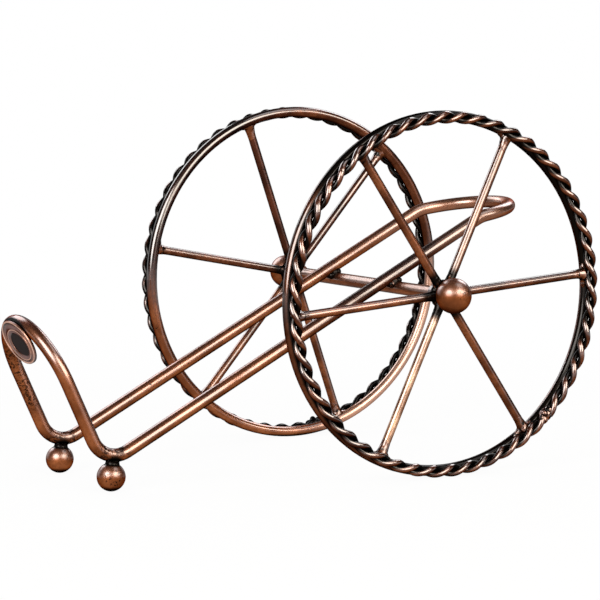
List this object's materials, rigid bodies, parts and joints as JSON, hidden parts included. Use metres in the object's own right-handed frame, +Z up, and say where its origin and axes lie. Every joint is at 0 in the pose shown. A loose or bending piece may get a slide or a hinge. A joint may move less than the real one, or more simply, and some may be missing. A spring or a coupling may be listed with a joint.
{
  "type": "wine bottle cradle cart",
  "caption": "Wire bottle cradle shaped as a two-wheeled cart: bent-bar loop with ball feet and sloping rails, on an axle with rope-rimmed spoked wheels.",
  "frame": {"origin": "on the floor, under the middle of the whole object", "axes": "+X from the stop loop towards the wheels and the high end, +Y along the axle to the left wheel, +Z up"},
  "size_m": [0.265, 0.1668, 0.165],
  "materials": {
    "copper_lacquer": "semi-gloss antique copper lacquer over steel, rubbed bright on top and dark in the recesses",
    "weld_patina": "dark copper lacquer over weld beads"
  },
  "bodies": {
    "frame": {"cradle_loop": "copper_lacquer", "axle": "copper_lacquer", "badge_plate": "copper_lacquer", "right_foot_ball": "copper_lacquer", "right_end_ball": "copper_lacquer", "right_stop_collar": "copper_lacquer", "left_foot_ball": "copper_lacquer", "left_end_ball": "copper_lacquer", "left_stop_collar": "copper_lacquer", "foot_welds": "weld_patina", "axle_welds": "weld_patina"},
    "right_wheel": {"right_rim_ring": "copper_lacquer", "right_rope_strand_a": "copper_lacquer", "right_rope_strand_b": "copper_lacquer", "right_hub_bush": "copper_lacquer", "right_spoke_1": "copper_lacquer", "right_spoke_2": "copper_lacquer", "right_spoke_3": "copper_lacquer", "right_spoke_4": "copper_lacquer", "right_spoke_5": "copper_lacquer", "right_spoke_6": "copper_lacquer", "right_rim_welds": "weld_patina", "right_hub_weld": "weld_patina", "right_rope_weld": "weld_patina"},
    "left_wheel": {"left_rim_ring": "copper_lacquer", "left_rope_strand_a": "copper_lacquer", "left_rope_strand_b": "copper_lacquer", "left_hub_bush": "copper_lacquer", "left_spoke_1": "copper_lacquer", "left_spoke_2": "copper_lacquer", "left_spoke_3": "copper_lacquer", "left_spoke_4": "copper_lacquer", "left_spoke_5": "copper_lacquer", "left_spoke_6": "copper_lacquer", "left_rim_welds": "weld_patina", "left_hub_weld": "weld_patina", "left_rope_weld": "weld_patina"}
  },
  "joints": [
    {"name": "right_wheel_spin", "type": "hinge", "parent": "frame", "child": "right_wheel", "pos_m": [0.04998, -0.0678, 0.0825], "axis": [0, 1, 0], "continuous": true},
    {"name": "left_wheel_spin", "type": "hinge", "parent": "frame", "child": "left_wheel", "pos_m": [0.04998, 0.0678, 0.0825], "axis": [0, 1, 0], "continuous": true}
  ]
}
